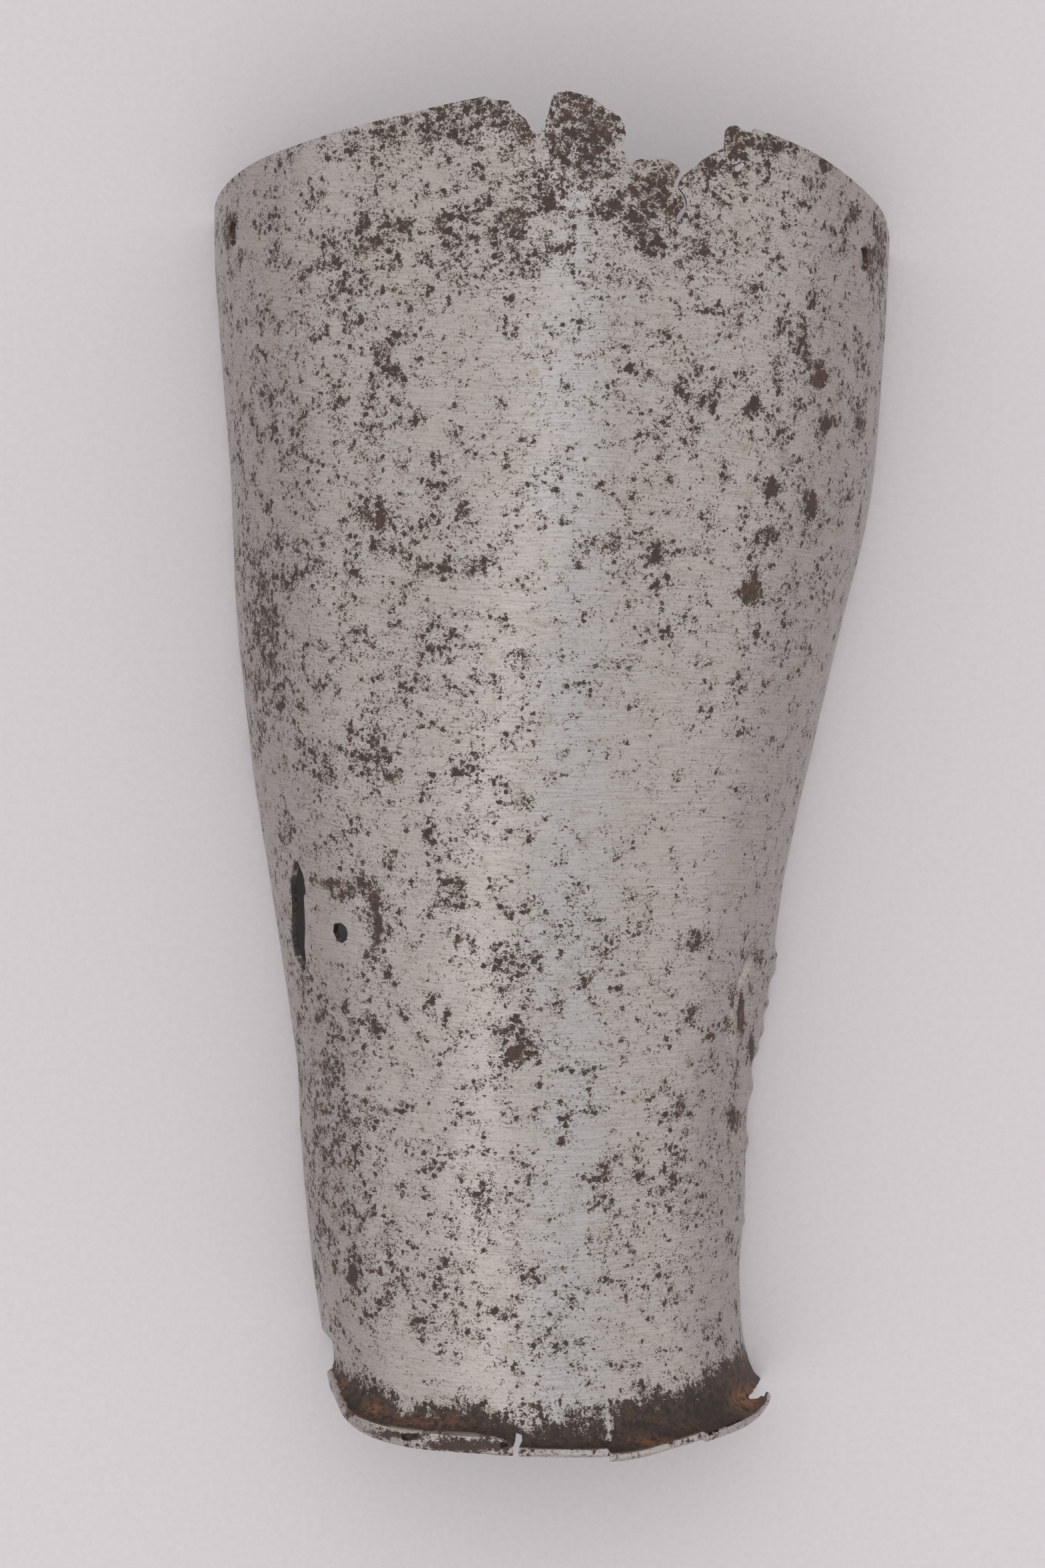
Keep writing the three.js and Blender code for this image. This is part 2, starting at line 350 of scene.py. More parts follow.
def past_crest(angle, chart):
    """How far a place on the rim's chart is past the start of the crest's fold, in millimetres."""
    if chart > FLARE_CHART:
        return -math.inf
    flare, hook = rim_shape["flare"](angle), rim_shape["hook"](angle)
    fold = FLARE_RADIUS * math.radians(flare) + FLARE_STRAIGHT + HOOK_RADIUS * math.radians(hook)
    share = (FLARE_CHART - chart) / (FLARE_CHART - RIM_CHART)
    return rim_lines[round(angle, 2)][-1][0] * share - fold


def on_plate(angle, chart):
    """The point of the plate's outer face at a place on its flat chart."""
    if chart > ARCH_CHART:
        arch = elbow_edge(angle) - ARCH_CHART
        return spot(angle, ARCH_CHART + arch * (chart - ARCH_CHART) / (ELBOW_CHART - ARCH_CHART))
    if chart >= WALL_CHART:
        return spot(angle, chart)
    key = round(angle, 2)
    if key not in rim_lines:
        rim_lines[key] = rim_line(angle)
    line = rim_lines[key]
    if chart > FLARE_CHART:
        start = line[0][1]
        share = (chart - FLARE_CHART) / (WALL_CHART - FLARE_CHART)
        return spot(angle, start + (WALL_CHART - start) * share)
    long = line[-1][0] * min((FLARE_CHART - chart) / (FLARE_CHART - RIM_CHART), 1)
    k = next((k for k in range(1, len(line)) if line[k][0] >= long), len(line) - 1)
    before, after = line[k - 1], line[k]
    t = (long - before[0]) / (after[0] - before[0])
    return spot(angle, before[1] + t * (after[1] - before[1]), before[2] + t * (after[2] - before[2]))


def seen(point):
    """Where the photo shows a point, in its pixels: across and down."""
    near = PIXELS / (CAMERA_HIGH - point.z)
    across = PHOTO_WIDE / 2 + near * (point.x - CAMERA_OVER.x)
    return across, PHOTO_HIGH / 2 - near * (point.y - CAMERA_OVER.y)


# The outlines of what is broken or cut out, in the photo's pixels. The first is the torn elbow edge
BROKEN_ELBOW = [
    (700, 40), (726, 140), (731, 147), (747, 150), (762, 151), (768, 157), (770, 164), (779, 171),
    (789, 179), (793, 187), (797, 193), (803, 199), (807, 204), (812, 197), (817, 185), (823, 172),
    (825, 163), (827, 154), (829, 145), (833, 139), (840, 137), (847, 136), (856, 137), (863, 139),
    (875, 142), (884, 144), (891, 148), (902, 156), (908, 162), (916, 166), (922, 169), (929, 174),
    (936, 183), (937, 190), (939, 197), (939, 204), (936, 212), (935, 218), (933, 225), (937, 229),
    (941, 233), (942, 240), (943, 246), (946, 249), (950, 241), (957, 240), (962, 238), (970, 240),
    (980, 239), (990, 238), (1001, 239), (1007, 243), (1014, 247), (1019, 253), (1021, 259), (1017, 266),
    (1013, 272), (1010, 279), (1015, 284), (1020, 289), (1025, 297), (1027, 305), (1026, 311),
    (1020, 317), (1015, 325), (1014, 334), (1019, 333), (1024, 326), (1029, 318), (1031, 311),
    (1031, 305), (1029, 297), (1024, 288), (1019, 282), (1020, 274), (1025, 266), (1035, 256),
    (1041, 252), (1047, 249), (1055, 241), (1063, 236), (1070, 230), (1077, 228), (1083, 224),
    (1088, 223), (1088, 214), (1089, 207), (1089, 199), (1092, 193), (1097, 189), (1104, 188),
    (1110, 191), (1113, 196), (1119, 196), (1130, 199), (1150, 150), (1150, 40),
]

PINHOLES = [
    [(939, 259), (945, 257), (947, 264), (946, 270), (941, 273), (936, 267)],
    [(1101, 256), (1103, 250), (1110, 246), (1119, 241), (1121, 247), (1115, 253), (1108, 258)],
]

STRAP_SLOT = [
    (446, 1290), (451, 1303), (455, 1312), (457, 1326), (459, 1338), (456, 1345), (457, 1366), (458, 1390),
    (457, 1420), (459, 1440), (458, 1456), (455, 1454), (448, 1443), (443, 1435), (440, 1420), (438, 1392),
    (438, 1350), (436, 1330), (437, 1312), (440, 1300),
]
LACE_HOLE = [
    (501, 1385), (511, 1384), (519, 1390), (522, 1400), (520, 1410), (513, 1415), (506, 1411), (500, 1398),
]

# Tears in the rim's crest, which are sunk and not cut through, and how deep they are in millimetres
TEAR_DEEP = 0.7
CREST_TEARS = [
    [(603, 2151), (612, 2150), (622, 2152), (633, 2151), (626, 2156), (618, 2159), (611, 2162),
     (603, 2158)],
    [(750, 2162), (758, 2164), (767, 2170), (757, 2171), (751, 2174)],
]

# Openings through the rolled rim: the gap in its middle, a crack and the split roll at the right
RIM_TEARS = [
    [(775, 2146), (783, 2150), (784, 2160), (779, 2170), (777, 2195), (769, 2195), (770, 2171),
     (773, 2162)],
    [(911, 2172), (914, 2180), (917, 2176), (916, 2182), (915, 2196), (911, 2196), (912, 2184)],
    [(1058, 2151), (1066, 2147), (1082, 2141), (1098, 2134), (1112, 2128), (1113, 2131), (1098, 2138),
     (1080, 2146), (1064, 2154)],
]

# The bite out of the rim's right end
BITE = [
    (1141, 2072), (1137, 2078), (1131, 2084), (1130, 2088), (1123, 2094), (1125, 2099), (1129, 2098),
    (1136, 2098), (1148, 2089), (1165, 2078), (1160, 2060),
]

# Side view, as y and z in millimetres, of the corners that have broken off the wrist end
BROKEN_LEFT = [
    (-98.2, -2), (-98.4, 5), (-98.8, 12), (-99.5, 15.6), (-102, 14.6), (-105, 13.6), (-120, 14),
    (-120, -2),
]
BROKEN_RIGHT = [(-108, -2), (-108.1, 4), (-108.3, 9), (-120, 9), (-120, -2)]

RivetHole = namedtuple("RivetHole", "angle y across")
RIVET_HOLES = [RivetHole(-67.5, 96.8, 4.5), RivetHole(64, 91.9, 4.5)]
# How far round a rivet hole the sheet is looked at, in degrees, and how many sides the hole has
HOLE_REACH = 12
HOLE_SIDES = 20

# Which angles and which lengths of the chart the torn elbow edge takes up
TORN_ANGLES = (-16, 42)
ELBOW_CHARTS = (80, 118)

# Parts of the chart that have finer cells: their angles, their lengths, and the cuts in a cell's side
RIM_CHARTS = (-115, -99)
FINER = [
    ((-14, 40), (88, 117), 3),
    ((-72, -38), (-38, -10), 3),
    ((-75, -60), (90, 103), 3),
    ((56, 72), (85, 99), 3),
    ((-91, 91), RIM_CHARTS, 1),
    ((12.2, 17.4), RIM_CHARTS, 1),
    ((-10, -1), RIM_CHARTS, 2),
    ((38.5, 43.5), RIM_CHARTS, 1),
    ((-36, -26), (-113, -103), 2),
    ((48, 91), (-82, -22), 1),
]


def inside(outline, x, y):
    """Whether a flat closed outline holds a point."""
    found = False
    before = outline[-1]
    for corner in outline:
        if (corner[1] > y) != (before[1] > y):
            crossing = corner[0] + (y - corner[1]) / (before[1] - corner[1]) * (before[0] - corner[0])
            found ^= x < crossing
        before = corner
    return found


class Sheet:
    """The plate as a bent chart. Each vertex keeps its place on the chart, and can slide over the face."""

    # How many times an edge is halved to find where an outline crosses it
    HALVINGS = 9

    def __init__(self):
        self.bm = bmesh.new()
        self.angle = self.bm.verts.layers.float.new("angle")
        self.chart = self.bm.verts.layers.float.new("chart")
        bmesh.ops.create_grid(self.bm, x_segments=CHART_COLUMNS, y_segments=CHART_ROWS, size=1)
        middle = (RIM_CHART + ELBOW_CHART) / 2
        half = (ELBOW_CHART - RIM_CHART) / 2
        for v in self.bm.verts:
            v[self.angle] = 90 * v.co.x
            v[self.chart] = middle + half * v.co.y
            v.co = (v[self.angle], v[self.chart], 0)

    def refine(self, angles, charts, cuts):
        """Divides the cells of one part of the flat chart."""
        faces = [
            f for f in self.bm.faces
            if all(angles[0] < v.co.x < angles[1] and charts[0] < v.co.y < charts[1] for v in f.verts)
        ]
        edges = list({e for f in faces for e in f.edges})
        bmesh.ops.subdivide_edges(self.bm, edges=edges, cuts=cuts, use_grid_fill=True)

    def bend(self):
        for v in self.bm.verts:
            v[self.angle], v[self.chart] = v.co.x, v.co.y
        for v in self.bm.verts:
            v.co = on_plate(v[self.angle], v[self.chart])

    def cut(self, outline, flat, angles, charts, sunk=0):
        """Cuts an outline out of one part of the sheet, or sinks it. flat puts a point in its plane."""
        bm = self.bm
        gone = {}
        for v in bm.verts:
            if angles[0] < v[self.angle] < angles[1] and charts[0] < v[self.chart] < charts[1]:
                gone[v] = inside(outline, *flat(v.co))
        moves = {}
        for e in bm.edges:
            a, b = e.verts
            if a not in gone or b not in gone or gone[a] == gone[b]:
                continue
            low, high = 0.0, 1.0
            for _ in range(self.HALVINGS):
                t = (low + high) / 2
                here = on_plate(*self.between(a, b, t))
                if inside(outline, *flat(here)) == gone[a]:
                    low = t
                else:
                    high = t
            t = (low + high) / 2
            mover, way = (a, t) if t < 0.5 else (b, 1 - t)
            if mover not in moves or way < moves[mover][0]:
                moves[mover] = (way, self.between(a, b, t))
        for v, (_, place) in moves.items():
            v[self.angle], v[self.chart] = place
            v.co = on_plate(*place)
        for f in {f for v in moves for f in v.link_faces}:
            border = [v for v in f.verts if v in moves]
            if len(border) == 2 and any(gone.get(v) and v not in moves for v in f.verts):
                if not bm.edges.get(border) and any(not gone.get(v) and v not in moves for v in f.verts):
                    bmesh.utils.face_split(f, *border)
        if sunk:
            for v in gone:
                if gone[v] and v not in moves:
                    v.co.z -= sunk
            return
        doomed = []
        for f in bm.faces:
            inner = [v for v in f.verts if v not in moves]
            if any(gone.get(v) for v in inner):
                doomed.append(f)
            elif not inner and inside(outline, *flat(f.calc_center_median())):
                doomed.append(f)
        bmesh.ops.delete(bm, geom=doomed, context="FACES")

    def between(self, a, b, t):
        angle = a[self.angle] + t * (b[self.angle] - a[self.angle])
        return angle, a[self.chart] + t * (b[self.chart] - a[self.chart])


def side_view(point):
    """A point as the corners' side view has it: y and z."""
    return point.y + MIDDLE.y, point.z


def wall_view(hole):
    """A view straight down a hole's axis, in millimetres across and along from its middle."""
    middle = spot(hole.angle, hole.y)
    across = (spot(hole.angle + 1, hole.y) - middle).normalized()
    along = (spot(hole.angle, hole.y + 1) - middle).normalized()

    def flat(point):
        return (point - middle).dot(across), (point - middle).dot(along)

    return flat


def circle(across):
    turns = [2 * math.pi * k / HOLE_SIDES for k in range(HOLE_SIDES)]
    return [(across / 2 * math.cos(turn), across / 2 * math.sin(turn)) for turn in turns]


def cut_sheet():
    sheet = Sheet()
    for angles, charts, cuts in FINER:
        sheet.refine(angles, charts, cuts)
    sheet.bend()
    sheet.cut(BROKEN_ELBOW, seen, TORN_ANGLES, ELBOW_CHARTS)
    for pinhole in PINHOLES:
        sheet.cut(pinhole, seen, (5, 40), (90, 112))
    sheet.cut(STRAP_SLOT, seen, (-80, -45), (-45, 0))
    sheet.cut(LACE_HOLE, seen, (-60, -35), (-40, -15))
    for hole in RIVET_HOLES:
        angles = (hole.angle - HOLE_REACH, hole.angle + HOLE_REACH)
        sheet.cut(circle(hole.across), wall_view(hole), angles, ELBOW_CHARTS)
    for tear in CREST_TEARS:
        sheet.cut(tear, seen, (-60, 20), (-111.8, -105.5), TEAR_DEEP)
    for tear in RIM_TEARS:
        sheet.cut(tear, seen, (-60, 62), (-115, -100.5))
    sheet.cut(BITE, seen, (50, 90), (-110, -99))
    sheet.cut(BROKEN_LEFT, side_view, (-91, -40), (-120, -90))
    sheet.cut(BROKEN_RIGHT, side_view, (40, 91), (-120, -95))
    return sheet


# Where the photo shows stains and bare metal, in its pixels, and a few rows of painted shade that blacken
# the lace hole's wall and the sunk crest tears: middle, half width and half height. Then how much darker
# it is than the metal round it, below 0 where it is barer and near 1 where it is solid, and how red, from
# 0 to 1
StainAndShade = namedtuple("StainAndShade", "across down wide high dark red")
STAINS_AND_SHADE = [
    StainAndShade(520, 380, 110, 90, 0.07, 0),
    StainAndShade(640, 350, 130, 60, 0.07, 0),
    StainAndShade(780, 310, 110, 70, 0.1, 0),
    StainAndShade(520, 232, 120, 26, 0.12, 0),
    StainAndShade(650, 190, 100, 26, 0.2, 0),
    StainAndShade(760, 240, 90, 50, 0.07, 0),
    StainAndShade(1070, 262, 100, 34, 0.1, 0),
    StainAndShade(600, 400, 120, 60, 0.05, 0),
    StainAndShade(820, 400, 80, 50, 0.05, 0),
    StainAndShade(960, 530, 120, 80, 0.04, 0),
    StainAndShade(1190, 660, 60, 140, 0.06, 0),
    StainAndShade(500, 1240, 60, 60, 0.05, 0),
    StainAndShade(490, 1800, 50, 90, 0.06, 0),
    StainAndShade(560, 200, 90, 20, 0.08, 0),
    StainAndShade(1240, 262, 60, 30, 0.08, 0),
    StainAndShade(500, 1350, 40, 40, 0.05, 0),
    StainAndShade(495, 1510, 60, 90, 0.11, 0),
    StainAndShade(480, 1650, 30, 90, 0.07, 0),
    StainAndShade(620, 1940, 100, 60, 0.08, 0),
    StainAndShade(740, 1960, 80, 50, 0.06, 0),
    StainAndShade(398, 960, 26, 120, 0.26, 0),
    StainAndShade(780, 1450, 70, 40, 0.04, 0),
    StainAndShade(900, 1500, 90, 90, -0.03, 0),
    StainAndShade(880, 1260, 110, 90, -0.02, 0),
    StainAndShade(660, 1560, 70, 90, -0.03, 0),
    StainAndShade(780, 1720, 110, 70, -0.04, 0),
    StainAndShade(820, 620, 90, 100, -0.05, 0),
    StainAndShade(390, 640, 60, 200, 0.05, 0),
    StainAndShade(500, 640, 110, 180, 0.06, 0),
    StainAndShade(480, 950, 90, 200, 0.05, 0),
    StainAndShade(650, 850, 100, 90, 0.07, 0),
    StainAndShade(600, 1110, 100, 90, 0.06, 0),
    StainAndShade(960, 330, 160, 90, 0.07, 0),
    StainAndShade(980, 800, 70, 70, 0.06, 0),
    StainAndShade(860, 1000, 150, 300, -0.02, 0),
    StainAndShade(1010, 1180, 160, 200, -0.06, 0),
    StainAndShade(1080, 1270, 60, 120, -0.08, 0),
    StainAndShade(720, 500, 120, 60, -0.06, 0),
    StainAndShade(500, 270, 60, 60, -0.05, 0),
    StainAndShade(760, 2070, 260, 30, -0.08, 0),
    StainAndShade(580, 2030, 70, 50, -0.06, 0),
    StainAndShade(740, 1530, 110, 60, 0.08, 0),
    StainAndShade(530, 1750, 70, 180, 0.07, 0),
    StainAndShade(1000, 1800, 90, 70, 0.06, 0),
    StainAndShade(862, 160, 36, 24, 0.4, 0.5),
    StainAndShade(905, 195, 28, 36, 0.4, 0.3),
    StainAndShade(846, 200, 30, 26, 0.25, 0.3),
    StainAndShade(885, 245, 40, 24, 0.1, 0.2),
    StainAndShade(960, 255, 16, 20, 0.26, 0.7),
    StainAndShade(1000, 258, 26, 20, 0.24, 0.4),
    StainAndShade(1005, 305, 20, 22, 0.24, 0.5),
    StainAndShade(975, 285, 26, 16, 0.24, 0),
    StainAndShade(950, 335, 40, 26, 0.12, 0.2),
    StainAndShade(1104, 214, 20, 18, 0.24, 0.6),
    StainAndShade(1098, 202, 12, 14, 0.5, 0.4),
    StainAndShade(1147, 222, 14, 18, 0.3, 0),
    StainAndShade(1180, 214, 30, 10, 0.3, 0),
    StainAndShade(1060, 245, 22, 10, 0.35, 0),
    StainAndShade(1090, 258, 44, 16, 0.12, 0),
    StainAndShade(1012, 240, 14, 8, 0.1, 0),
    StainAndShade(700, 156, 50, 12, 0.2, 0),
    StainAndShade(786, 196, 14, 24, 0.3, 0.3),
    StainAndShade(745, 165, 26, 16, 0.16, 0.1),
    StainAndShade(768, 330, 18, 14, 0.4, 0.2),
    StainAndShade(486, 289, 6, 12, 0.43, 0.2),
    StainAndShade(557, 368, 20, 14, 0.3, 0.4),
    StainAndShade(602, 340, 12, 8, 0.4, 0.2),
    StainAndShade(660, 338, 12, 10, 0.4, 0.5),
    StainAndShade(826, 307, 9, 12, 0.36, 0.3),
    StainAndShade(893, 262, 18, 12, 0.3, 0.3),
    StainAndShade(974, 361, 14, 16, 0.58, 0),
    StainAndShade(1048, 369, 13, 11, 0.58, 0.3),
    StainAndShade(1171, 490, 6, 10, 0.36, 0.2),
    StainAndShade(774, 496, 6, 10, 0.36, 0),
    StainAndShade(569, 527, 9, 9, 0.43, 0.5),
    StainAndShade(1231, 568, 10, 16, 0.7, 0.8),
    StainAndShade(1196, 482, 8, 12, 0.36, 0.2),
    StainAndShade(1204, 524, 6, 16, 0.32, 0.1),
    StainAndShade(1068, 592, 9, 12, 0.3, 0),
    StainAndShade(1030, 590, 10, 12, 0.2, 0),
    StainAndShade(1239, 635, 8, 13, 0.75, 0),
    StainAndShade(1289, 631, 7, 18, 0.43, 0.1),
    StainAndShade(1026, 593, 8, 9, 0.43, 0),
    StainAndShade(1069, 610, 8, 8, 0.43, 0),
    StainAndShade(1135, 606, 8, 13, 0.75, 0),
    StainAndShade(756, 693, 7, 12, 0.5, 0),
    StainAndShade(1158, 732, 10, 13, 0.75, 0.15),
    StainAndShade(1090, 719, 9, 9, 0.43, 0),
    StainAndShade(1218, 754, 7, 20, 0.75, 0.1),
    StainAndShade(1154, 804, 9, 12, 0.6, 0),
    StainAndShade(511, 600, 14, 12, 0.4, 0.1),
    StainAndShade(553, 602, 7, 7, 0.43, 0.7),
    StainAndShade(573, 783, 9, 11, 0.58, 0.9),
    StainAndShade(556, 770, 22, 16, 0.15, 0.4),
    StainAndShade(689, 779, 7, 9, 0.58, 0),
    StainAndShade(984, 831, 12, 14, 0.58, 0),
    StainAndShade(636, 853, 8, 8, 0.5, 0),
    StainAndShade(667, 855, 10, 8, 0.58, 0.2),
    StainAndShade(1125, 889, 13, 18, 0.8, 1),
    StainAndShade(677, 959, 9, 8, 0.5, 0),
    StainAndShade(544, 961, 7, 6, 0.36, 0.1),
    StainAndShade(560, 1140, 24, 10, 0.3, 0.1),
    StainAndShade(594, 1168, 12, 6, 0.43, 0.6),
    StainAndShade(640, 1256, 8, 12, 0.36, 0),
    StainAndShade(677, 1325, 18, 14, 0.36, 0.2),
    StainAndShade(690, 1355, 30, 12, 0.35, 0.3),
    StainAndShade(683, 1418, 7, 10, 0.36, 0.9),
    StainAndShade(708, 1414, 5, 9, 0.36, 0.4),
    StainAndShade(771, 1582, 15, 14, 0.6, 0.6),
    StainAndShade(786, 1560, 9, 14, 0.3, 0.1),
    StainAndShade(779, 1530, 10, 7, 0.43, 0.1),
    StainAndShade(810, 1619, 8, 6, 0.5, 0.1),
    StainAndShade(878, 1476, 10, 6, 0.36, 0.2),
    StainAndShade(644, 1503, 7, 9, 0.43, 0),
    StainAndShade(671, 1520, 7, 10, 0.43, 0),
    StainAndShade(561, 1549, 8, 9, 0.43, 0.3),
    StainAndShade(650, 1758, 7, 8, 0.43, 0),
    StainAndShade(951, 1714, 9, 12, 0.36, 0.1),
    StainAndShade(1007, 1781, 8, 9, 0.36, 0),
    StainAndShade(774, 1906, 9, 12, 0.36, 0),
    StainAndShade(682, 1979, 9, 9, 0.36, 0),
    StainAndShade(530, 1914, 10, 24, 0.4, 0),
    StainAndShade(1044, 1410, 10, 14, 0.43, 0.1),
    StainAndShade(496, 1324, 34, 7, 0.35, 0.4),
    StainAndShade(521, 1338, 16, 10, 0.3, 0.6),
    StainAndShade(548, 1330, 14, 12, 0.35, 0.4),
    StainAndShade(560, 1350, 9, 16, 0.45, 0.6),
    StainAndShade(566, 1388, 8, 26, 0.6, 0.3),
    StainAndShade(556, 1432, 10, 16, 0.35, 0.1),
    StainAndShade(504, 1402, 36, 34, -0.3, 0),
    StainAndShade(1112, 1520, 5, 36, 0.7, 0.8),
    StainAndShade(1099, 1497, 6, 18, 0.36, 0.3),
    StainAndShade(1092, 1536, 6, 10, 0.4, 0),
    StainAndShade(1127, 1485, 4, 10, 0.43, 0.7),
    StainAndShade(1140, 1438, 12, 14, 0.35, 0.4),
    StainAndShade(1127, 1570, 6, 20, 0.47, 0),
    StainAndShade(1100, 1677, 9, 18, 0.43, 0),
    StainAndShade(1064, 1558, 6, 7, 0.43, 0.6),
    StainAndShade(1012, 1494, 10, 8, 0.36, 0),
    StainAndShade(1038, 1518, 14, 10, 0.36, 0),
    StainAndShade(1022, 1660, 12, 14, 0.36, 0.4),
    StainAndShade(346, 350, 7, 22, 0.9, 0.4),
    StainAndShade(361, 380, 4, 14, 0.36, 0.2),
    StainAndShade(1305, 392, 6, 20, 0.9, 0.7),
    StainAndShade(1279, 315, 10, 16, 0.4, 0.1),
    StainAndShade(1268, 360, 6, 30, 0.4, 0.1),
    StainAndShade(1322, 380, 8, 50, 0.4, 0.3),
    StainAndShade(700, 2169, 50, 7, 0.75, 0.35),
    StainAndShade(582, 2151, 18, 6, 0.6, 0.6),
    # Painted shade: these two rows blacken the sunk tears in the crest, where the openings into the rolled
    # rim lie in shade
    StainAndShade(617, 2155, 14, 4, 1.2, 0),
    StainAndShade(758, 2168, 7, 4, 1, 0),
    StainAndShade(545, 2125, 30, 10, 0.12, 0.2),
    StainAndShade(500, 2075, 10, 30, 0.12, 0),
    StainAndShade(840, 2180, 60, 6, 0.18, 0),
    StainAndShade(914, 2136, 8, 32, -0.6, 0),
    StainAndShade(560, 2115, 22, 14, 0, 0.9),
    StainAndShade(640, 2132, 80, 11, 0, 0.6),
    StainAndShade(975, 2162, 45, 12, 0, 0.7),
    StainAndShade(1120, 2098, 30, 26, 0, 1),
    StainAndShade(508, 2078, 12, 16, 0, 0.8),
    StainAndShade(1030, 2140, 50, 16, 0, 0.35),
    # Painted shade: this row blackens the lace hole's wall so that the hole reads as shadowed
    StainAndShade(511, 1399, 8, 11, 1, 0),
    StainAndShade(522, 2121, 7, 8, 0.4, 0),
]
# A row, stain and painted shade alike, has ended where the square of the distance from its middle, in its
# half widths, is more than this
STAIN_AND_SHADE_END = 6

# The rust in the flare: where its upper edge runs in the photo, in pixels across and down
RUST_EDGE = [
    (480, 2020), (498, 2050), (557, 2071), (606, 2118), (644, 2114), (720, 2112), (741, 2136), (779, 2145),
    (888, 2136), (915, 2120), (969, 2103), (1050, 2076), (1094, 2040), (1140, 2020),
]

# How deep in the flare's rust a clean place counts as being, in millimetres, and where on the chart rust
# can start
NO_RUST = -8
RUST_CHART = -86
# How far past the start of the crest's fold the rust ends and the crest is bare, in millimetres
BARE_CREST = (0.1, 0.3)

# Where on the chart the sheet can be eaten thin, and how far that and the rim's thin sheet take to set in
TORN_CHART = 85
EATEN_REACH = 7
THINNED_REACH = 6

# The polishing lines, in the photo's pixels: where they are level, how far out from there their fall is
# measured, and how much it is. On the right it has this share at the top, and less by one for each length
# further down
GRAIN_MIDDLE = 800
GRAIN_OUT = 400
GRAIN_FALL = 60
GRAIN_TOP = 0.9
GRAIN_DOWN = 1300

# Edges that bend by more than this many degrees stay sharp
SHARP = 38


def stained_and_shaded(across, down):
    dark, red = 0.0, 0.0
    for patch in STAINS_AND_SHADE:
        wide = (across - patch.across) / patch.wide
        high = (down - patch.down) / patch.high
        away = wide * wide + high * high
        if away < STAIN_AND_SHADE_END:
            share = math.exp(-away)
            dark += patch.dark * share
            red = max(red, patch.red * share)
    return dark, red


def rust_line(across):
    for before, after in zip(RUST_EDGE, RUST_EDGE[1:]):
        if across < after[0]:
            t = max((across - before[0]) / (after[0] - before[0]), 0)
            return before[1] + t * (after[1] - before[1])
    return RUST_EDGE[-1][1]


def grain_slope(across, down):
    """How far the polishing lines have run by here. They fall at the left and rise low on the right."""
    side = (across - GRAIN_MIDDLE) / GRAIN_OUT
    if side < 0:
        return -GRAIN_FALL * side * side
    return GRAIN_FALL * side * side * (GRAIN_TOP - down / GRAIN_DOWN)


def plate_mesh(sheet):
    """The sheet as a mesh, with its share of the thickness and what its material reads at each vertex."""
    bm = sheet.bm
    thick = bm.verts.layers.deform.verify()
    looks = {name: bm.verts.layers.float.new(name) for name in ("dark", "red", "flare")}
    lay = bm.verts.layers.float_vector.new("lay")
    for v in bm.verts:
        across, down = seen(v.co)
        angle, chart = v[sheet.angle], v[sheet.chart]
        share = 1.0
        if chart > TORN_CHART and TORN_ANGLES[0] < angle < TORN_ANGLES[1]:
            torn = off_line(BROKEN_ELBOW, across, down) * PIXEL
            share = EATEN_SHEET / SHEET + (1 - EATEN_SHEET / SHEET) * ease(0, EATEN_REACH, torn)
        elif chart < FLARE_CHART:
            share = 1 - (1 - RIM_SHEET / SHEET) * ease(FLARE_CHART, FLARE_CHART - THINNED_REACH, chart)
        v[thick][0] = share
        dark, red = stained_and_shaded(across, down)
        v[looks["dark"]] = dark
        v[looks["red"]] = red
        v[looks["flare"]] = NO_RUST
        if chart < RUST_CHART:
            bare = ease(*BARE_CREST, past_crest(angle, chart))
            deep = min(max((down - rust_line(across)) * PIXEL, NO_RUST), -NO_RUST)
            v[looks["flare"]] = deep + bare * (NO_RUST - deep)
        around = math.radians(angle) * section["rise"](chart)
        v[lay] = (around, v.co.y + grain_slope(across, down) * PIXEL, 0)
    for v in bm.verts:
        v.co = v.co * MM
    for f in bm.faces:
        f.smooth = True
    bmesh.ops.recalc_face_normals(bm, faces=bm.faces)
    if sum(f.normal.z * f.calc_area() for f in bm.faces) < 0:
        bmesh.ops.reverse_faces(bm, faces=bm.faces)
    mesh = bpy.data.meshes.new("arm plate")
    bm.to_mesh(mesh)
    bm.free()
    return mesh


def thickened(mesh):
    """The sheet given its thickness inwards, with its inner face in the second material."""
    shell = bpy.data.objects.new("sheet", mesh)
    bpy.context.scene.collection.objects.link(shell)
    shell.vertex_groups.new(name="thickness")
    solidify = shell.modifiers.new("thickness", "SOLIDIFY")
    solidify.thickness = SHEET * MM
    solidify.offset = -1
    solidify.use_even_offset = False
    solidify.vertex_group = "thickness"
    solidify.thickness_vertex_group = 0
    solidify.material_offset = 1
    bpy.context.view_layer.update()
    finished = bpy.data.meshes.new_from_object(shell.evaluated_get(bpy.context.evaluated_depsgraph_get()))
    bpy.data.objects.remove(shell)
    finished.name = "arm plate"
    finished.set_sharp_from_angle(angle=math.radians(SHARP))
    return finished


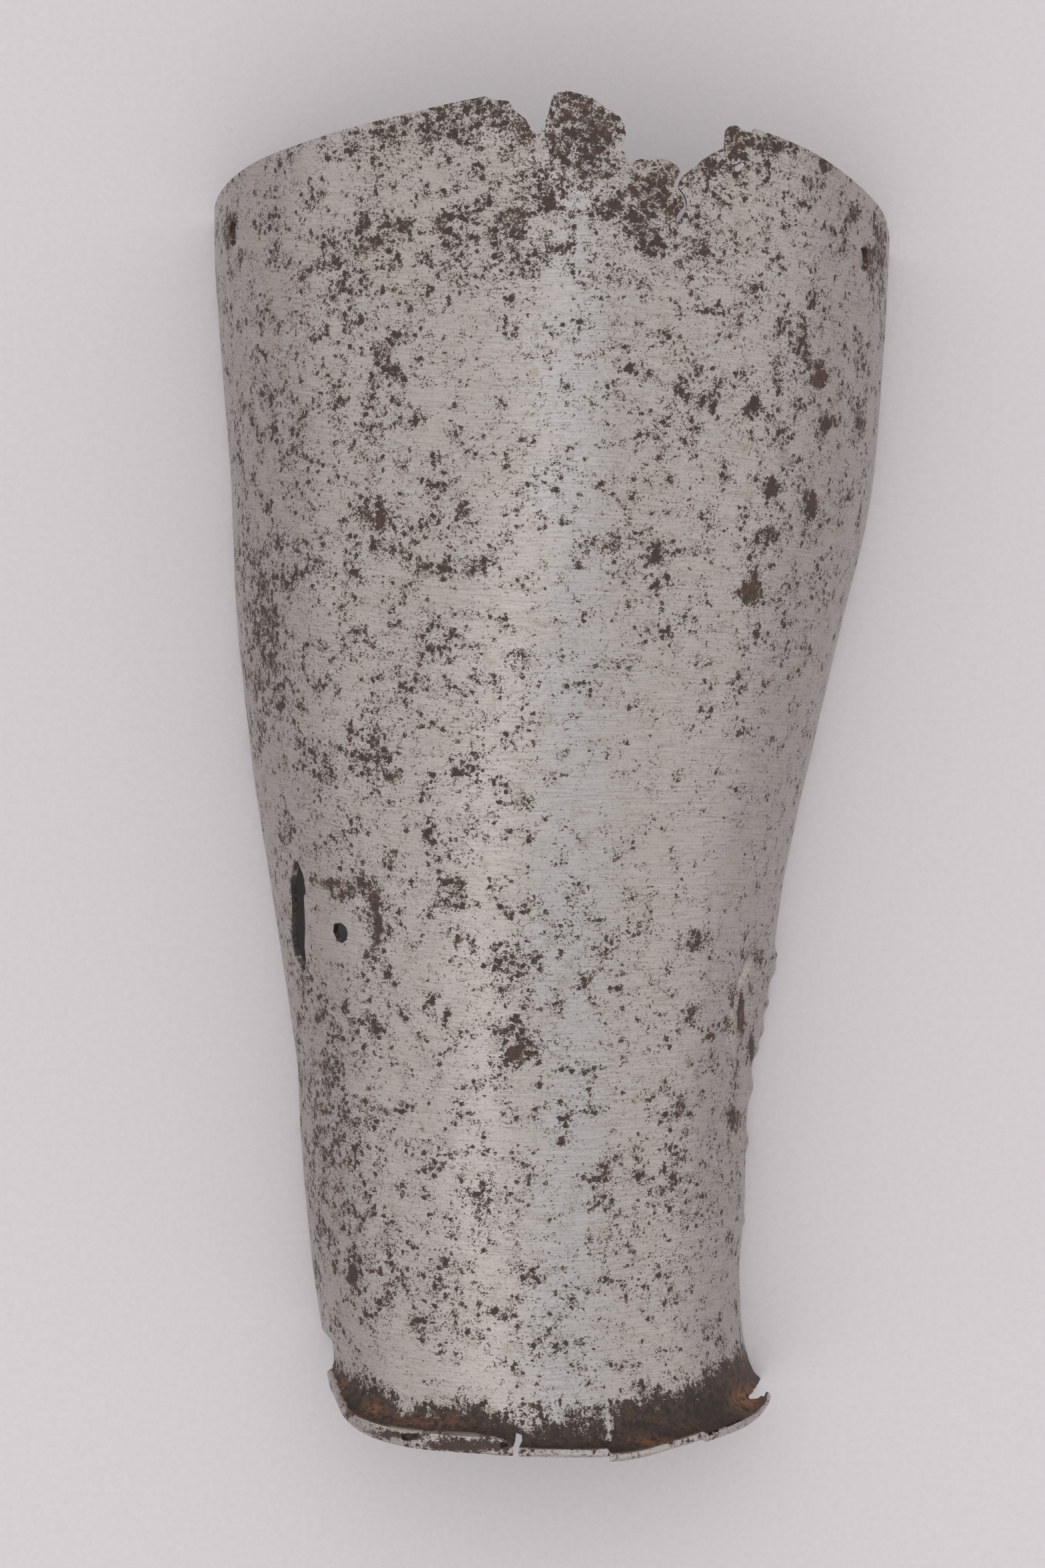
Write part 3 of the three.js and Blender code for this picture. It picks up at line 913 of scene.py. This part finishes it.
class Shader:
    """A material's nodes, added one at a time and joined by what each one reads."""

    def __init__(self, name):
        self.material = bpy.data.materials.new(name)
        self.material.use_nodes = True
        self.tree = self.material.node_tree
        self.tree.nodes.clear()

    def node(self, kind, settings=None, **inputs):
        node = self.tree.nodes.new("ShaderNode" + kind)
        for name, value in (settings or {}).items():
            setattr(node, name, value)
        for name, value in inputs.items():
            socket = node.inputs[int(name[1:])] if name[0] == "_" else node.inputs[name.replace("_", " ")]
            if isinstance(value, bpy.types.NodeSocket):
                self.tree.links.new(value, socket)
            else:
                socket.default_value = value
        return node

    def math(self, operation, a, b=0.0, c=0.0):
        return self.node("Math", {"operation": operation}, _0=a, _1=b, _2=c).outputs[0]

    def millimetres(self):
        """Where a point is on its own piece, in millimetres."""
        place = self.node("TexCoord").outputs["Object"]
        return self.node("VectorMath", {"operation": "SCALE"}, _0=place, Scale=1 / MM).outputs[0]

    def stretched(self, vector, scale, turn=0.0):
        return self.node("Mapping", Vector=vector, Rotation=(0, 0, turn), Scale=scale).outputs[0]

    def noise(self, vector, grain, output="Fac"):
        node = self.node("TexNoise", Vector=vector, Scale=grain.scale, Detail=grain.detail,
                         Roughness=grain.roughness)
        return node.outputs[output]

    def swayed(self, value, noise, strength):
        """A value moved up and down by a noise."""
        return self.math("MULTIPLY_ADD", self.math("SUBTRACT", noise, 0.5), strength, value)

    def pits(self, vector, lean, size):
        """How far a place is inside a round pit. More of them have opened where lean is higher."""
        fill = self.math("MULTIPLY_ADD", lean, size.gain, size.start)
        cell = self.node("TexVoronoi", Vector=vector, Scale=size.scale)
        chance = self.node("SeparateColor", Color=cell.outputs["Color"]).outputs[0]
        reach = self.math("MULTIPLY_ADD", self.math("SUBTRACT", fill, chance), PIT_GROWTH, PIT_START)
        return self.math("SUBTRACT", reach, cell.outputs["Distance"])

    def step(self, value, low, high):
        """A value turned into a share, from 0 at low to 1 at high."""
        settings = {"interpolation_type": "SMOOTHSTEP", "clamp": True}
        return self.node("MapRange", settings, Value=value, From_Min=low, From_Max=high).outputs["Result"]

    def blend(self, factor, a, b):
        node = self.node("Mix", {"data_type": "RGBA"}, Factor=factor)
        for name, value in ((6, a), (7, b)):
            socket = node.inputs[name]
            if isinstance(value, bpy.types.NodeSocket):
                self.tree.links.new(value, socket)
            else:
                socket.default_value = (*value, 1)
        return node.outputs[2]

    def tint(self, colour, where, strength, over):
        return self.blend(self.math("MULTIPLY", where, strength), colour, over)

    def attribute(self, name, output="Fac"):
        return self.node("Attribute", {"attribute_name": name}).outputs[output]

    def finish(self, **inputs):
        surface = self.node("BsdfPrincipled", **inputs)
        output = self.node("OutputMaterial")
        self.tree.links.new(surface.outputs[0], output.inputs[0])
        return self.material


# How fast a pit widens as more of them open, and how wide the last one to open is, in cells of the scatter
PIT_GROWTH = 1.3
PIT_START = 0.25

# Pits: their cells in a millimetre, how much the share of open pits gains from the lean towards rust, and
# its start
Pits = namedtuple("Pits", "scale gain start")
FINE_PITS = Pits(2.7, 1.9, 0.17)
COARSE_PITS = Pits(1.05, 2.3, 0.15)
# How deep a fine pit is beside a coarse one
FINE_SHARE = 0.4

# Noises: their cells in a millimetre, how many finer layers they have, and how strong those are. Streaks,
# lines and hairs are stretched first
Grain = namedtuple("Grain", "scale detail roughness")
WOBBLE = Grain(1.7, 3, 0.5)
BROAD = Grain(0.09, 2, 0.6)
CLUMPS = Grain(0.27, 5, 0.66)
GRIT = Grain(3.2, 3, 0.7)
MOTTLE = Grain(0.8, 4, 0.7)
TAN = Grain(0.24, 4, 0.7)
REDDISH = Grain(0.2, 2, 0.5)
STREAKS = Grain(1, 3, 0.6)
LINES = Grain(1, 4, 0.7)
HAIRS = Grain(1, 2, 0.6)
INNER_BLOTCH = Grain(0.1, 5, 0.65)
INNER_GRIT = Grain(1.3, 4, 0.65)
FIBRE = Grain(0.9, 3, 0.6)

# How far the wobble makes a pit's outline ragged, in millimetres
WOBBLE_REACH = 1.3
# How much the noises add to the lean towards rust from the charted stains and painted shade, and the most
# that it comes to on the plate
BROAD_LEAN = 0.35
CLUMP_LEAN = 1.15
MOST_LEAN = 0.29
# The streaks that make the flare's rust ragged, and how far they reach in millimetres. Then how deep in
# it the rust starts and is whole, and how much it adds to the lean
STREAK_STRETCH = (1.3, 0.3, 1)
STREAK_REACH = 7
FLARE_START = (-3.8, 4.4)
FLARE_LEAN = 0.7
# How crumbly rust is, and how much more so where there is more of it
CRUMBLE = 0.9
CRUMBLE_GAIN = 2.4
# From what darkness a blot, a charted stain and a patch of painted shade alike, is filled in its middle,
# how much, and between which y that fades out by the torn edge
BLOT_DARK = (0.25, 0.45)
BLOT_FILL = 0.42
BLOT_Y = (90, 80)
# The edge of a speck, the brown halo round it, and the haze where the metal leans towards rust
SPECK_EDGE = (-0.03, 0.045)
HALO_EDGE = (-0.4, 0.1)
HALO_STRENGTH = 0.32
HAZE_LEAN = (0.1, 0.4)
HAZE_STRENGTH = 0.4
# The polishing lines and the hairlines that cross them, by a small angle in radians
LINE_STRETCH = (0.14, 2.4, 1)
HAIR_STRETCH = (0.5, 5.0, 1)
HAIR_TURN = 0.12
# A painted highlight along the crown, standing in for the narrow band of reflection that the brushed steel
# shows there, in millimetres: how far right of the plate's middle it runs, how far it strays, and how far
# out it has faded and is whole
CROWN_RIGHT = 3
CROWN_STRAY = 12
CROWN_WIDE = (9, 1)
# Where painted shade darkens the flare's rust towards the recess under the rim's crest, in millimetres
# from the rust's edge
RECESS_DEEP = (1.5, 6.0)
# Where the flare's own colours take over from the specks', in millimetres from its edge
FLARE_COLOURED = (-1.5, 3.0)

METAL_WARM = (0.45, 0.411, 0.385)
METAL_COOL = (0.462, 0.442, 0.438)
# The colour of the painted highlight along the crown
CROWN_HIGHLIGHT = (0.47, 0.46, 0.466)
SCRATCH = (0.17, 0.152, 0.14)
GLEAM = (0.62, 0.6, 0.58)
TAN_STAIN = (0.26, 0.19, 0.14)
HAZE = (0.17, 0.135, 0.11)
SPECK = (0.033, 0.022, 0.019)
SPECK_BROWN = (0.062, 0.042, 0.035)
RED_SPECK = (0.125, 0.052, 0.036)
PIT_EDGE = (0.11, 0.081, 0.068)
FLARE_BROWN = (0.07, 0.044, 0.032)
FLARE_DARK = (0.024, 0.018, 0.016)
FLARE_ORANGE = (0.21, 0.09, 0.04)
FLARE_DUST = (0.16, 0.12, 0.095)
# The colour of the painted shade in the flare's recess under the crest
RECESS_SHADE = (0.022, 0.016, 0.014)
INNER_GREY = (0.085, 0.075, 0.07)
INNER_RUST = (0.14, 0.085, 0.055)
INNER_DARK = (0.05, 0.042, 0.04)
PAPER_PALE = (0.77, 0.733, 0.754)
PAPER_FIBRE = (0.67, 0.636, 0.653)


def worn_steel():
    """Polished steel: fine lines round the arm, dark specks and blots, and rust in the flare, with a
    painted highlight along the crown and painted shade in the flare's recess, the lace hole and the crest
    tears.
    """
    s = Shader("worn steel")
    place = s.millimetres()
    sides = s.node("SeparateXYZ", Vector=place).outputs
    dark, red, deep = (s.attribute(name) for name in ("dark", "red", "flare"))
    lay = s.attribute("lay", "Vector")
    broad = s.noise(place, BROAD)
    grit = s.noise(place, GRIT)
    mottle = s.noise(place, MOTTLE)

    # How far a place leans towards rust, from the charted stains and painted shade, the noises and the
    # rust in the flare
    lean = s.swayed(dark, broad, BROAD_LEAN)
    lean = s.swayed(lean, s.noise(place, CLUMPS), CLUMP_LEAN)
    lean = s.math("MINIMUM", lean, MOST_LEAN)
    streaks = s.noise(s.stretched(lay, STREAK_STRETCH), STREAKS)
    run = s.swayed(deep, streaks, STREAK_REACH)
    lean = s.math("MULTIPLY_ADD", s.step(run, *FLARE_START), FLARE_LEAN, lean)

    # How far a place is inside a speck: a pit with a ragged and crumbly outline, or a blot's middle, which
    # also fills the patches of painted shade
    wobble = s.noise(place, WOBBLE, "Color")
    reach = (WOBBLE_REACH, WOBBLE_REACH, WOBBLE_REACH)
    ragged = s.node("VectorMath", {"operation": "MULTIPLY_ADD"}, _0=wobble, _1=reach, _2=place).outputs[0]
    fine = s.math("MULTIPLY", s.pits(ragged, lean, FINE_PITS), FINE_SHARE)
    level = s.math("MAXIMUM", fine, s.pits(ragged, lean, COARSE_PITS))
    crumbly = s.math("MULTIPLY_ADD", s.math("MAXIMUM", lean, 0.0), CRUMBLE_GAIN, CRUMBLE)
    level = s.swayed(level, grit, crumbly)
    blot = s.math("MULTIPLY", s.step(dark, *BLOT_DARK), s.step(sides[1], *BLOT_Y))
    level = s.math("MULTIPLY_ADD", blot, BLOT_FILL, level)
    speck = s.step(level, *SPECK_EDGE)
    halo = s.math("MULTIPLY", s.step(level, *HALO_EDGE), HALO_STRENGTH)
    haze = s.math("MAXIMUM", halo, s.math("MULTIPLY", s.step(lean, *HAZE_LEAN), HAZE_STRENGTH))

    # The bare metal, under layers that each have a place, a strength and a colour
    lines = s.noise(s.stretched(lay, LINE_STRETCH), LINES)
    hairs = s.step(s.noise(s.stretched(lay, HAIR_STRETCH, HAIR_TURN), HAIRS), 0.6, 0.7)
    strayed = s.math("MULTIPLY_ADD", broad, CROWN_STRAY, sides[0])
    crown = s.math("ABSOLUTE", s.math("SUBTRACT", strayed, CROWN_RIGHT + CROWN_STRAY / 2))
    metal = METAL_WARM
    layers = [
        (s.step(broad, 0.4, 0.66), 0.5, METAL_COOL),
        # Painted highlight: the crown is whitened where brushed steel shows a narrow band of reflection
        (s.step(crown, *CROWN_WIDE), 0.6, CROWN_HIGHLIGHT),
        (s.step(lines, 0.5, 0.68), 0.3, GLEAM),
        (s.step(lines, 0.5, 0.32), 0.36, SCRATCH),
        (hairs, 0.5, SCRATCH),
        (s.step(grit, 0.55, 0.75), 0.25, SCRATCH),
        (s.step(grit, 0.45, 0.25), 0.3, GLEAM),
        (s.step(s.noise(place, TAN), 0.57, 0.72), 0.35, TAN_STAIN),
        (haze, 1.0, HAZE),
    ]
    for where, strength, over in layers:
        metal = s.tint(metal, where, strength, over)

    # The specks, the rust in the flare, and painted shade in the flare's recess
    reddish = s.math("MULTIPLY", s.step(s.noise(place, REDDISH), 0.55, 0.66), 0.25)
    reddish = s.math("MAXIMUM", reddish, red)
    core = s.blend(s.step(grit, 0.35, 0.65), SPECK, SPECK_BROWN)
    core = s.blend(s.step(level, 0.0, 0.3), PIT_EDGE, core)
    core = s.tint(core, reddish, s.step(mottle, 0.38, 0.6), RED_SPECK)
    rust = s.blend(s.step(mottle, 0.4, 0.6), FLARE_DARK, FLARE_BROWN)
    rust = s.tint(rust, red, s.step(mottle, 0.36, 0.58), FLARE_ORANGE)
    rust = s.tint(rust, s.step(grit, 0.5, 0.68), 0.2, FLARE_DUST)
    # Painted shade: the flare's rust is darkened to near black towards the recess under the crest, less
    # where it is orange
    recess_shade = s.math("MULTIPLY", s.step(deep, *RECESS_DEEP), s.math("SUBTRACT", 0.75, red))
    rust = s.blend(s.math("MAXIMUM", recess_shade, 0.0), rust, RECESS_SHADE)
    colour = s.blend(speck, metal, s.blend(s.step(run, *FLARE_COLOURED), core, rust))

    roughness = s.math("MULTIPLY_ADD", speck, 0.38, s.math("MULTIPLY_ADD", lines, 0.12, 0.28))
    metallic = s.math("MULTIPLY_ADD", speck, -0.92, 1.0)
    height = s.math("MULTIPLY_ADD", speck, -0.6, s.math("MULTIPLY", lines, 0.25))
    height = s.math("MULTIPLY_ADD", hairs, -0.3, height)
    bump = s.node("Bump", Strength=0.45, Distance=0.09 * MM, Height=height).outputs[0]
    return s.finish(Base_Color=colour, Metallic=metallic, Roughness=roughness, Normal=bump)


def inner_steel():
    """The plate's inside: unpolished, dark with old rust."""
    s = Shader("inner steel")
    place = s.millimetres()
    grit = s.noise(place, INNER_GRIT)
    colour = s.blend(s.step(s.noise(place, INNER_BLOTCH), 0.4, 0.62), INNER_GREY, INNER_RUST)
    colour = s.blend(s.step(grit, 0.5, 0.7), colour, INNER_DARK)
    roughness = s.math("MULTIPLY_ADD", grit, 0.2, 0.55)
    bump = s.node("Bump", Strength=0.5, Distance=0.12 * MM, Height=grit).outputs[0]
    return s.finish(Base_Color=colour, Metallic=0.35, Roughness=roughness, Normal=bump)


def paper():
    s = Shader("paper")
    fibre = s.noise(s.millimetres(), FIBRE)
    colour = s.blend(fibre, PAPER_PALE, PAPER_FIBRE)
    bump = s.node("Bump", Strength=0.3, Distance=0.15 * MM, Height=fibre).outputs[0]
    return s.finish(Base_Color=colour, Roughness=0.95, Normal=bump)


def make_plate():
    mesh = plate_mesh(cut_sheet())
    mesh.materials.append(worn_steel())
    mesh.materials.append(inner_steel())
    plate = bpy.data.objects.new("steel_plate", thickened(mesh))
    bpy.context.scene.collection.objects.link(plate)
    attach(plate, "root")
    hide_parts("arm_plate")


def make_camera():
    lens = bpy.data.cameras.new("camera")
    lens.lens = LENS
    lens.sensor_fit = "VERTICAL"
    lens.sensor_height = SENSOR
    lens.clip_start = 0.01
    camera = bpy.data.objects.new("camera", lens)
    camera.location = (CAMERA_OVER + Vector((0, 0, CAMERA_HIGH))) * MM
    bpy.context.scene.collection.objects.link(camera)
    bpy.context.scene.camera = camera


# Half the floor's width in metres, and how far it lies under the plate's long edges in millimetres
FLOOR_HALF = 3
FLOOR_DROP = 0.2


def make_floor():
    bm = bmesh.new()
    bmesh.ops.create_grid(bm, x_segments=1, y_segments=1, size=FLOOR_HALF)
    mesh = bpy.data.meshes.new("floor")
    bm.to_mesh(mesh)
    bm.free()
    mesh.materials.append(paper())
    floor = bpy.data.objects.new("floor", mesh)
    floor.location.z = -FLOOR_DROP * MM
    bpy.context.scene.collection.objects.link(floor)


def area_light(name, place, aim, size, power, colour):
    lamp = bpy.data.lights.new(name, "AREA")
    lamp.shape = "RECTANGLE"
    lamp.size, lamp.size_y = size
    lamp.energy = power
    lamp.color = colour
    light = bpy.data.objects.new(name, lamp)
    turned = (Vector(aim) - Vector(place)).to_track_quat("-Z", "Y")
    light.matrix_world = Matrix.Translation(place) @ turned.to_matrix().to_4x4()
    bpy.context.scene.collection.objects.link(light)


def make_light():
    world = bpy.data.worlds.new("soft room")
    world.use_nodes = True
    sky = world.node_tree.nodes["Background"]
    sky.inputs["Color"].default_value = (1, 0.985, 0.985, 1)
    sky.inputs["Strength"].default_value = 0.9
    bpy.context.scene.world = world
    area_light("long window", place=(-0.5, -0.5, 1.6), aim=(0, 0, 0), size=(0.3, 2.2), power=1.5,
               colour=(0.97, 0.97, 1))
    bpy.context.scene.view_settings.view_transform = "Standard"
    bpy.context.scene.view_settings.look = "None"


make_camera()
make_floor()
make_light()
make_plate()
